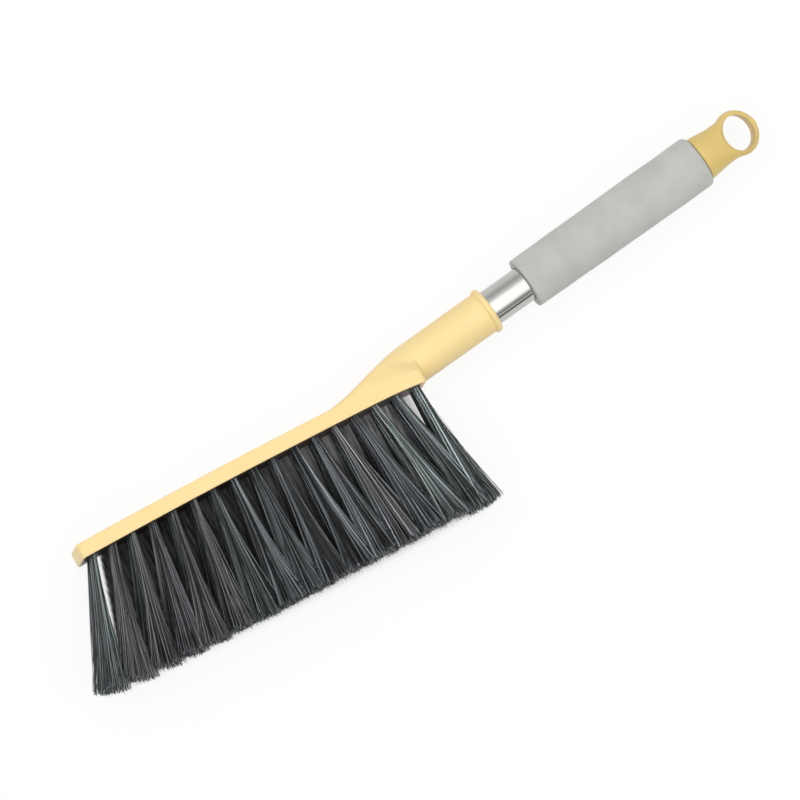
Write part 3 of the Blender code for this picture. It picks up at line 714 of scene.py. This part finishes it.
def socket_section(x, sink):
    """Points of the socket's outline at x, sunk under its surface, in line with the head's points."""
    centre_y = underside(BAR_LENGTH / 2) + BAR_THICKNESS / 2
    half_width = SOCKET_RADIUS - sink
    half_height = SOCKET_RADIUS / math.cos(HANDLE_RISE) - sink
    middle = axis_y(x) - centre_y

    def inside(across, up):
        return (across / half_width) ** 2 + ((up - middle) / half_height) ** 2 < 1

    def reach_at(cosine, sine):
        return ray_to_edge(cosine, sine, inside, 4 * half_height)
    return section_points(x, centre_y, reach_at)


def head_stations():
    """(x, distance from the bar's nearer end) of the sections along the bar."""
    half = BAR_LENGTH / 2
    beyond = BAR_CORNER_RADIUS - BAR_EDGE_RADIUS
    rounded = [BAR_EDGE_RADIUS * (1 - math.cos(math.pi / 2 * i / END_STEPS)) for i in range(END_STEPS + 1)]
    rounded += [BAR_EDGE_RADIUS + beyond * (i + 1) / END_STEPS for i in range(END_STEPS)]
    stations = [(-half + distance, distance) for distance in rounded]
    start, end = -half + BAR_CORNER_RADIUS, half - FAIRING_LENGTH
    plain = round((end - start) / BAR_STATION_SPACING)
    stations += [(start + (end - start) * (i + 1) / plain, BAR_WIDTH) for i in range(plain)]
    start, end = end, BAR_END - BAR_CORNER_RADIUS
    for i in range(FAIRING_STATIONS):
        share = (i + 1) / FAIRING_STATIONS
        x = end - (end - start) * (1 - share) ** FAIRING_STATION_CROWDING
        stations.append((x, BAR_END - x))
    stations += [(BAR_END - distance, distance) for distance in reversed(rounded[:-1])]
    return stations


def tuft_places():
    """(row, number, root point, lean about Z) of every tuft."""
    half = BAR_LENGTH / 2
    first, last = -half + FIRST_TUFT_FROM_END, half - LAST_TUFT_FROM_END
    count = len(TUFT_LEANS)
    for row in range(len(ROW_NAMES)):
        z = MID_Z + (row - (len(ROW_NAMES) - 1) / 2) * ROW_SPACING
        for number, lean in enumerate(TUFT_LEANS):
            x = first + (last - first) * number / (count - 1)
            yield row, number, Vector((x, underside(x), z)), math.radians(lean)


def make_tuft_holes():
    """Blind holes, one for each tuft, as one cutter."""
    radius = TUFT_DIAMETER / 2 + FIT_GAP
    depth = TUFT_ROOT_DEPTH + FIT_GAP
    points, faces = [], []
    for _, _, root, lean in tuft_places():
        turn = Euler((math.radians(-90), 0, lean)).to_matrix()
        sections = [ring_of(radius, height, TUFT_HOLE_STEPS) for height in (-CUTTER_OVERRUN, depth)]
        add_skin([[root + turn @ point for point in ring] for ring in sections], points, faces)
    return new_solid("tuft_holes", points, faces)


def make_head():
    sections = [head_section(x, distance) for x, distance in head_stations()]
    sections.append(socket_section(BAR_END + FIT_GAP, 0.0))
    sections.append(socket_section(BAR_END + FAIRING_OVERRUN, FAIRING_SINK))
    head = new_solid("head_moulding", *skin(sections))

    rim_radius = RIM_DIAMETER / 2
    rim_start = SOCKET_LENGTH - RIM_WIDTH
    profile = [(0.0, SOCKET_LENGTH)]
    profile += quarter_round(rim_radius, SOCKET_LENGTH, RIM_ROUNDING, 1)
    profile += quarter_round(rim_radius, rim_start, RIM_ROUNDING, -1)
    profile += [
        (SOCKET_RADIUS + SOCKET_DRAFT / 2, rim_start),
        (SOCKET_RADIUS, SOCKET_FULL_FROM),
        (SOCKET_RADIUS - SOCKET_ROOT_TAPER, -SOCKET_ROOT_LENGTH),
        (0.0, -SOCKET_ROOT_LENGTH),
    ]
    socket = turned_solid("socket_outside", profile, HANDLE_FRAME)
    profile = post(BORE_RADIUS, SOCKET_LENGTH - SOCKET_BORE_DEPTH, SOCKET_LENGTH + CUTTER_OVERRUN)
    bore = turned_solid("socket_bore", profile, HANDLE_FRAME)
    combine(head, [("UNION", socket), ("DIFFERENCE", bore), ("DIFFERENCE", make_tuft_holes())])
    finish = moulded_plastic(
        "head_plastic_finish", HEAD_COLOURS, roughness=0.42,
        # span of the painted shade on the underside, between the first and the last tuft
        painted_shade_span=(
            FIRST_TUFT_FROM_END - BAR_LENGTH / 2 - PAINTED_SHADE_BEYOND_FIRST_TUFT,
            BAR_LENGTH / 2 - LAST_TUFT_FROM_END + PAINTED_SHADE_BEYOND_LAST_TUFT,
        ),
    )
    place_piece(head, finish, ["brush_head"])


def place_piece(piece, material, nodes):
    """Gives a piece its material, and puts it in the place of its nodes."""
    piece.data.materials.clear()
    piece.data.materials.append(material)
    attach(piece, BODY)
    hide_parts(*nodes)


# Handle

def make_tube():
    outer, inner = TUBE_DIAMETER / 2, TUBE_DIAMETER / 2 - TUBE_WALL
    profile = [(outer, GRIP_END), (outer, TUBE_START), (inner, TUBE_START), (inner, GRIP_END)]
    tube = turned_solid("steel_tube", profile, HANDLE_FRAME, closed=True)
    place_piece(tube, polished_steel(), ["handle_tube"])


def grip_radius(along):
    """Radius of the foam, along metres from its near end."""
    near, far = GRIP_NEAR_DIAMETER / 2, GRIP_FAR_DIAMETER / 2
    full_from = GRIP_LENGTH - GRIP_WIDEST_FROM_FAR_END
    return near + (far - near) * min(along / full_from, 1.0)


def make_grip():
    """The foam sleeve, with a slightly uneven surface."""
    far_start = GRIP_LENGTH - GRIP_FAR_ROUNDING
    profile = [(BORE_RADIUS, 0.0)]
    near_arc = quarter_round(GRIP_NEAR_DIAMETER / 2, 0.0, GRIP_NEAR_ROUNDING, -1)
    profile += reversed(near_arc)
    for i in range(1, GRIP_STATIONS):
        along = GRIP_NEAR_ROUNDING + (far_start - GRIP_NEAR_ROUNDING) * i / GRIP_STATIONS
        profile.append((grip_radius(along), along))
    profile += reversed(quarter_round(GRIP_FAR_DIAMETER / 2, GRIP_LENGTH, GRIP_FAR_ROUNDING, 1))
    profile.append((BORE_RADIUS, GRIP_LENGTH))
    place = HANDLE_FRAME @ Matrix.Translation((0, 0, GRIP_START))
    grip = turned_solid("foam_sleeve", profile, place, closed=True)
    for vert in grip.data.vertices:
        radius = math.hypot(vert.co.x, vert.co.y)
        if radius > BORE_RADIUS + FIT_GAP:
            turn = math.atan2(vert.co.y, vert.co.x)
            wave = sum(
                math.sin(count * turn + pace * vert.co.z + start) for count, pace, start in GRIP_WAVES
            )
            scale = 1 + GRIP_UNEVENNESS * wave / 2 / radius
            vert.co.x *= scale
            vert.co.y *= scale
    place_piece(grip, grip_foam(), ["grip_sleeve"])


# Hanging cap

def neck_radius(along):
    """Radius of the neck, drawn in smoothly from the grip to its waist."""
    share = smooth_share(along / NECK_WAIST_FROM_GRIP)
    return (NECK_DIAMETER + (NECK_WAIST_DIAMETER - NECK_DIAMETER) * share) / 2


def cap_shape(along):
    """Half width, half depth and exponent of the cap's section, along metres beyond the grip."""
    from_centre = (along - LOOP_CENTRE_FROM_GRIP) / (LOOP_LENGTH / 2)
    ring = LOOP_WIDTH / 2 * math.sqrt(max(1 - from_centre ** 2, 0.0))
    neck = neck_radius(along) if along <= LOOP_CENTRE_FROM_GRIP else 0.0
    half_width = blend_max(neck, ring, LOOP_BLEND)
    share = smooth_share((along - FLATTENING_FROM_GRIP) / (LOOP_CENTRE_FROM_GRIP - FLATTENING_FROM_GRIP))
    half_depth = neck_radius(along) + (LOOP_DEPTH / 2 - neck_radius(along)) * share
    if along > LOOP_CENTRE_FROM_GRIP:
        tip = (along - LOOP_CENTRE_FROM_GRIP) / (LOOP_LENGTH / 2)
        half_depth += (LOOP_TIP_DEPTH - LOOP_DEPTH) / 2 * tip
    return half_width, half_depth, 2 + (LOOP_SQUARENESS - 2) * share


def cap_section(along):
    half_width, half_depth, exponent = cap_shape(along)
    points = []
    for i in range(CAP_SECTION_POINTS):
        angle = 2 * math.pi * i / CAP_SECTION_POINTS
        cosine, sine = math.cos(angle), math.sin(angle)
        depth = half_depth * math.copysign(abs(cosine) ** (2 / exponent), cosine)
        width = half_width * math.copysign(abs(sine) ** (2 / exponent), sine)
        points.append(Vector((depth, width, along)))
    return points


def make_loop_hole(place):
    """An oval post across the loop, widened in a rounding at both faces."""
    face = LOOP_DEPTH / 2
    levels = [(face + CUTTER_OVERRUN, HOLE_ROUNDING)] + quarter_round(face, 0.0, HOLE_ROUNDING, -1)
    levels = [(-depth, flare) for depth, flare in levels] + levels[::-1]
    sections = []
    for depth, flare in levels:
        ring = []
        for i in range(CAP_SECTION_POINTS):
            angle = 2 * math.pi * i / CAP_SECTION_POINTS
            ring.append(Vector((
                depth,
                (HOLE_WIDTH / 2 + flare) * math.sin(angle),
                LOOP_CENTRE_FROM_GRIP + (HOLE_LENGTH / 2 + flare) * math.cos(angle),
            )))
        sections.append(ring)
    return new_solid("loop_hole", *skin(sections), place)


def make_cap():
    end = LOOP_CENTRE_FROM_GRIP + LOOP_LENGTH / 2
    stations = [end * math.sin(math.pi / 2 * i / CAP_STATIONS) for i in range(CAP_STATIONS)]
    stations.append(end - LOOP_TIP_FLAT)
    place = HANDLE_FRAME @ Matrix.Translation((0, 0, CAP_START)) @ Matrix.Rotation(CAP_TURN, 4, "Z")
    sections = [cap_section(along) for along in stations]
    cap = new_solid("loop_cap", *skin(sections), place)
    plug_radius = TUBE_DIAMETER / 2 - TUBE_WALL - FIT_GAP
    plug = post(plug_radius, -PLUG_LENGTH, PLUG_POCKET_BEYOND_GRIP)
    pocket = post(plug_radius - PLUG_WALL, -PLUG_LENGTH - CUTTER_OVERRUN, PLUG_POCKET_BEYOND_GRIP)
    combine(cap, [
        ("UNION", turned_solid("cap_plug", plug, place)),
        ("DIFFERENCE", turned_solid("plug_pocket", pocket, place)),
        ("DIFFERENCE", make_loop_hole(place)),
    ])
    finish = moulded_plastic("cap_plastic_finish", CAP_COLOURS, roughness=0.40)
    place_piece(cap, finish, ["hanging_cap"])


# Bristles

def fibre_line(dice, row, root, lean, fan, clumps, index):
    """Points along one fibre of a tuft, its shade and its radius."""
    half_length, power, unevenness, painted_glints = fan
    share = ((index + 0.5) / FIBRES_IN_TUFT) ** FAN_CROWDING
    turn = index * math.pi * (3 - math.sqrt(5))  # the golden angle, which spreads them evenly
    across, deep = share * math.cos(turn), share * math.sin(turn)
    clump = min(clumps, key=lambda c: (c[0] - across) ** 2 + (c[1] - deep) ** 2)
    tip_across, tip_deep = clump[2], clump[3]
    scale = ODD_FIBRE_SCATTER if dice.random() < ODD_FIBRE_SHARE else 1.0
    root_radius = TUFT_DIAMETER / 2 - FIBRE_RADIUS
    start = Vector((across * root_radius, deep * root_radius))
    keep = 1 - CLUMP_PULL
    tip = Vector((
        half_length * (across * keep + tip_across * CLUMP_PULL) + dice.gauss(0, FIBRE_SCATTER) * scale,
        FAN_HALF_DEPTHS[row] * (deep * keep + tip_deep * CLUMP_PULL) + dice.gauss(0, FIBRE_SCATTER) * scale,
    ))
    bow = Vector((dice.gauss(0, FIBRE_BOW), dice.gauss(0, FIBRE_BOW))) * scale
    length = BRISTLE_LENGTH + min(clump[4] + dice.gauss(0, FIBRE_SCATTER) * scale, FIBRE_MOST_EXTRA)
    right = Vector((math.cos(lean), math.sin(lean), 0))
    down = Vector((math.sin(lean), -math.cos(lean), 0))
    up = Vector((0, 0, 1))
    points = [root - down * FIBRE_IN_HOLE + right * start.x + up * start.y]
    for step in range(FIBRE_STEPS + 1):
        along = step / FIBRE_STEPS
        spread = along ** power
        side = start + (tip - start) * spread + bow * math.sin(math.pi * along)
        point = root + down * length * along + right * side.x + up * side.y
        point.z = max(point.z, FIBRE_LEAST_HEIGHT)
        points.append(point)
    # A painted glint: its shade maps to a colour brighter than white.
    if dice.random() < painted_glints:
        return points, 1.0, GLINT_RADIUS
    shade = min(max(clump[5] + dice.gauss(0, unevenness), 0.0), PALEST_SHADE)
    return points, shade, FIBRE_RADIUS


def stray_line(dice, root, lean, side):
    """Points along a loose fibre that leans out past the last tuft, its shade and its radius."""
    lean += side * math.radians(dice.uniform(*STRAY_LEANS))
    down = Vector((math.sin(lean), -math.cos(lean), dice.uniform(*STRAY_SPLAY)))
    bow = Vector((side, 0, 0)) * dice.uniform(0.0, STRAY_BOW)
    length = BRISTLE_LENGTH * dice.uniform(*STRAY_LENGTHS)
    points = [root - down * FIBRE_IN_HOLE]
    for step in range(FIBRE_STEPS + 1):
        along = step / FIBRE_STEPS
        points.append(root + down * length * along + bow * math.sin(math.pi * along))
    return points, dice.uniform(*STRAY_SHADES), STRAY_RADIUS


def make_row(row, material):
    """All fibres of one row, as one piece that stands for its tufts."""
    dice = random.Random(FIRST_ROW_SEED + row)
    points, faces, hues, shades, nodes = [], [], [], [], []
    for place_row, number, root, lean in tuft_places():
        if place_row != row:
            continue
        nodes.append(f"tuft_{ROW_NAMES[row]}_{number + 1:02d}")
        hue = dice.uniform(*TUFT_HUES)
        lean += math.radians(dice.gauss(0, TUFT_LEAN_SCATTER))
        at_end = number in (0, len(TUFT_LEANS) - 1)
        along = number / (len(TUFT_LEANS) - 1)
        fan = (
            FAN_HALF_LENGTHS[row] * (FAN_END_SHARE if at_end else 1.0),
            FAN_POWERS[row] * (1 + dice.uniform(-FAN_POWER_SPREAD, FAN_POWER_SPREAD)),
            FIBRE_UNEVENNESS * (1 + FIBRE_UNEVENNESS_GROWTH * along),
            PAINTED_GLINT_SHARES[0] + (PAINTED_GLINT_SHARES[1] - PAINTED_GLINT_SHARES[0]) * along ** PAINTED_GLINT_GROWTH,
        )
        darker = MIDDLE_DARKER_BY * math.sin(math.pi * along) + HANDLE_DARKER_BY * along
        clumps = [(
            dice.uniform(*CLUMP_HOMES), dice.uniform(*CLUMP_HOMES),
            dice.uniform(*CLUMP_TIPS), dice.uniform(*CLUMP_TIPS),
            dice.gauss(0, FIBRE_SCATTER), dice.uniform(*CLUMP_SHADES) - darker,
        ) for _ in range(CLUMPS_IN_TUFT)]
        lines = [
            fibre_line(dice, row, root, lean, fan, clumps, index) for index in range(FIBRES_IN_TUFT)
        ]
        if at_end:
            side = -1 if number == 0 else 1
            lines += [stray_line(dice, root, lean, side) for _ in range(STRAY_FIBRES)]
        for line, shade, radius in lines:
            add_skin(fibre_rings(line, radius, dice.uniform(0, math.tau)), points, faces)
            count = len(line) * FIBRE_SIDES
            fibre_hue = min(max(hue + dice.gauss(0, FIBRE_HUE_SCATTER), 0.0), 1.0)
            hues += [fibre_hue] * count
            shades += [shade] * count
    title = f"bristles_{ROW_NAMES[row]}"
    mesh = bpy.data.meshes.new(title)
    mesh.from_pydata(points, [], faces)
    mesh.shade_smooth()
    for name, values in (("hue", hues), ("shade", shades)):
        mesh.attributes.new(name, "FLOAT", "POINT").data.foreach_set("value", values)
    map_fibres(mesh)
    piece = new_object(title, mesh)
    place_piece(piece, material, nodes)


def map_fibres(mesh):
    """Gives each fibre a small cell of its own in a UV map."""
    faces_each = (FIBRE_STEPS + 1) * FIBRE_SIDES + 2
    across = math.ceil(math.sqrt(len(mesh.polygons) / faces_each))
    places = []
    for polygon in mesh.polygons:
        low, left = divmod(polygon.index // faces_each, across)
        for u, v in MAP_CELL_CORNERS[:polygon.loop_total]:
            places += [(left + u) / across, (low + v) / across]
    mesh.uv_layers.new(name=EXPORT_MAP).data.foreach_set("uv", places)


def fibre_rings(line, radius, twist):
    """Rings of a thin prism along a line."""
    rings = []
    along = (line[-1] - line[0]).normalized()
    first = along.cross(Vector((0, 0, 1))).normalized()
    second = along.cross(first)
    for step, point in enumerate(line):
        reach = radius * (FIBRE_TIP_SCALE if step == len(line) - 1 else 1.0)
        turns = [twist + math.tau * side / FIBRE_SIDES for side in range(FIBRE_SIDES)]
        rings.append([point + (first * math.cos(turn) + second * math.sin(turn)) * reach for turn in turns])
    return rings


# Floor, light and camera

def painted_shade_under_bristles(x, y):
    """Strength of the painted shade on the floor: 1 for a place that the bristles cover, 0 away from them.
    """
    out = FLOOR_SHADE_BEHIND - y
    left = x - (FLOOR_SHADE_LEFT - out * math.tan(math.radians(FLOOR_SHADE_LEFT_LEAN)))
    right = FLOOR_SHADE_RIGHT + out * math.tan(math.radians(TUFT_LEANS[-1])) - x
    along = min(max(left / (left + right), 0.0), 1.0)
    lean = TUFT_LEANS[0] + (FLOOR_SHADE_LAST_LEAN - TUFT_LEANS[0]) * along
    before_tips = BRISTLE_LENGTH * math.cos(math.radians(lean)) + FLOOR_SHADE_PAST_TIPS - out
    near, far = FLOOR_PALER_REACH
    paler = smooth_share((x - FLOOR_PALER_FROM) / (FLOOR_SHADE_RIGHT - FLOOR_PALER_FROM))
    paler *= smooth_share((far - out) / (far - near))
    share = min(
        left / FLOOR_SHADE_LEFT_EDGE, right / FLOOR_SHADE_RIGHT_EDGE,
        out / FLOOR_SHADE_EDGE, before_tips / FLOOR_SHADE_TIPS_EDGE,
    )
    return smooth_share(share) * (1 - FLOOR_PALER_BY * paler)


def make_floor():
    """A white floor. It shows as plain white to the camera, apart from the object's shadow and the painted
    shade under the bristles.
    """
    columns, rows = [
        [-FLOOR_REACH] + [start + FLOOR_GRID_SPACING * i for i in range(lines)] + [FLOOR_REACH]
        for start, lines in zip(FLOOR_GRID_STARTS, FLOOR_GRID_LINES)
    ]
    points = [(x, y, 0) for y in rows for x in columns]
    wide = len(columns)
    faces = [
        (j * wide + i, j * wide + i + 1, (j + 1) * wide + i + 1, (j + 1) * wide + i)
        for j in range(len(rows) - 1) for i in range(wide - 1)
    ]
    mesh = bpy.data.meshes.new("floor")
    mesh.from_pydata(points, [], faces)
    shades = [painted_shade_under_bristles(x, y) for x, y, _ in points]
    mesh.attributes.new("painted_floor_shade", "FLOAT", "POINT").data.foreach_set("value", shades)
    floor = new_object("floor", mesh)
    floor.location.z = -FLOOR_DROP
    mesh.materials.append(floor_white())


def floor_white():
    """White to the camera, with a painted shade, dark and streaked, under the bristles, and a painted
    reflection in shiny surfaces, dimmer far out.
    """
    nodes = Nodes(bpy.data.materials.new("floor_white"))
    painted_floor_shade = nodes.add("ShaderNodeAttribute", attribute_name="painted_floor_shade").outputs["Fac"]
    # Painted shade: the floor's colour goes dark where the bristles cover it, and deeper in it is streaked
    # like further fibres in shade.
    white_and_painted_shade = nodes.ramp(painted_floor_shade, [(0.0, grey(FLOOR_LEVELS[0])), (1.0, grey(FLOOR_LEVELS[1]))])
    streaks = nodes.noise(nodes.coordinates((1, 0.08, 1)), scale=700.0)
    streaks = nodes.between(streaks, *FLOOR_STREAKS, 0.35, 0.65)
    streaked = nodes.mixed(1.0, white_and_painted_shade, streaks, "MULTIPLY")
    nodes.finish(Base_Color=nodes.mixed(painted_floor_shade, white_and_painted_shade, streaked), Roughness=0.9, Specular_IOR_Level=0.1)
    glow = nodes.add("ShaderNodeEmission", {"Color": grey(1), "Strength": 1.0}).outputs[0]
    share = nodes.between(painted_floor_shade, FLOOR_GLOW, 0.0)
    streaked_share = nodes.math("MULTIPLY", share, streaks)
    share = nodes.mixed(nodes.between(painted_floor_shade, 0.0, 1.0, *FLOOR_STREAKED_FROM), share, streaked_share)
    rays = nodes.add("ShaderNodeLightPath").outputs
    seen = nodes.math("MAXIMUM", rays["Is Camera Ray"], rays["Is Transmission Ray"])
    share = nodes.math("MULTIPLY", share, seen)
    mix = nodes.add("ShaderNodeMixShader", {0: share, 1: nodes.shader.outputs[0], 2: glow})
    # Painted reflection: glossy rays see the floor glow at a set level, dimmer far out, in place of its lit
    # colour.
    place = nodes.add("ShaderNodeSeparateXYZ", {"Vector": nodes.coordinates()}).outputs["Y"]
    level = nodes.between(place, *PAINTED_REFLECTION_LEVELS, *PAINTED_REFLECTION_REACH)
    painted_reflection = nodes.add("ShaderNodeEmission", {"Color": grey(1), "Strength": level}).outputs[0]
    share = nodes.math("MULTIPLY", nodes.between(painted_floor_shade, 1.0, 0.0), rays["Is Glossy Ray"])
    mix = nodes.add("ShaderNodeMixShader", {0: share, 1: mix.outputs[0], 2: painted_reflection})
    output = nodes.tree.nodes["Material Output"]
    nodes.put(output.inputs["Surface"], mix.outputs[0])
    return nodes.owner


def make_world():
    """Soft surroundings: a wide light overhead, dimmer towards the horizon and along the handle."""
    world = bpy.data.worlds.new("surroundings")
    bpy.context.scene.world = world
    nodes = Nodes(world, "Background")
    way = nodes.add("ShaderNodeTexCoord").outputs["Generated"]
    parts = nodes.add("ShaderNodeSeparateXYZ", {"Vector": way}).outputs
    angle = nodes.math("DIVIDE", nodes.math("ARCCOSINE", parts["Z"]), math.pi)
    front, back = [
        nodes.ramp(angle, [(degrees / 180, grey(level)) for degrees, level in stops])
        for stops in (FRONT_STOPS, BACK_STOPS)
    ]
    level = nodes.mixed(nodes.between(parts["Y"], 0.0, 1.0, *BACK_STARTS), front, back)
    aside = nodes.between(nodes.math("ABSOLUTE", parts["X"]), 1.0, SIDE_LEVEL, *SIDE_REACH)
    nodes.finish(Color=nodes.mixed(1.0, level, aside, "MULTIPLY"))


def make_sun():
    data = bpy.data.lights.new("key", "SUN")
    data.energy = SUN_STRENGTH
    data.angle = SUN_WIDTH
    sun = new_object("key", data)
    sun.rotation_euler = SUN_DIRECTION.to_track_quat("Z", "Y").to_euler()
    sun.visible_glossy = False


def make_camera():
    data = bpy.data.cameras.new("camera")
    camera = new_object("camera", data)
    half = BAR_LENGTH / 2
    aim = Vector((half + CAMERA_AIM[0], underside(half) + CAMERA_AIM[1], BAR_WIDTH))
    back = CAMERA_LEAN.normalized()
    chord = Vector((1, 0, 0))
    chord = (chord - chord.dot(back) * back).normalized()
    other = back.cross(chord)
    right = math.cos(CHORD_ANGLE) * chord - math.sin(CHORD_ANGLE) * other
    up = back.cross(right)
    turn = Matrix((right, up, back)).transposed()
    camera.matrix_world = Matrix.Translation(aim + back * CAMERA_DISTANCE) @ turn.to_4x4()
    data.sensor_width = CAMERA_SENSOR
    data.lens = PIXELS_PER_METRE * CAMERA_DISTANCE / IMAGE_SIZE * CAMERA_SENSOR
    data.clip_end = CAMERA_REACH
    bpy.context.scene.camera = camera


def main():
    make_head()
    make_tube()
    make_grip()
    make_cap()
    fibre = bristle_fibre()
    for row in range(len(ROW_NAMES)):
        make_row(row, fibre)
    make_floor()
    make_world()
    make_sun()
    make_camera()
    bpy.context.scene.view_settings.view_transform = "Standard"


main()
bpy.context.view_layer.update()
